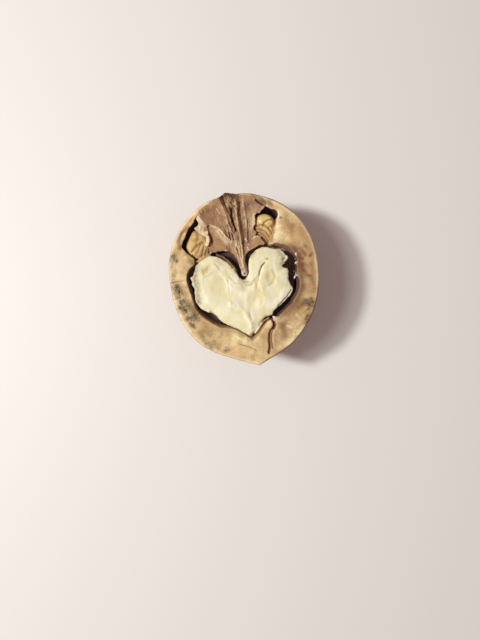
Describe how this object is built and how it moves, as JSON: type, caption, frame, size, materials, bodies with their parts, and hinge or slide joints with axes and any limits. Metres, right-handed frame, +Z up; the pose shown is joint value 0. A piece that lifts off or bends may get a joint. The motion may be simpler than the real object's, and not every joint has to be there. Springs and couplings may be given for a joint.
{
  "type": "cracked walnut half",
  "caption": "Half of a cracked walnut resting on its round back, split face up: woody shell, fibrous septum and heart-shaped broken kernel.",
  "frame": {"origin": "centre of the flat spot's plane under the middle of the nut's bounding box", "axes": "+Y along the nut from its pointed tip to its stem end, +Z up out of the split face, X across the nut in the split face"},
  "size_m": [0.0358, 0.0422, 0.0176],
  "materials": {
    "shell_wood": "dry, matt, with pale and mould-grey blotches",
    "kernel_flesh": "cream broken flesh with a golden brown skin on its flanks",
    "septum_paper": "dry papery fibres, matt"
  },
  "bodies": {
    "root": {"shell": "shell_wood", "kernel": "kernel_flesh", "septum": "septum_paper"}
  },
  "joints": []
}
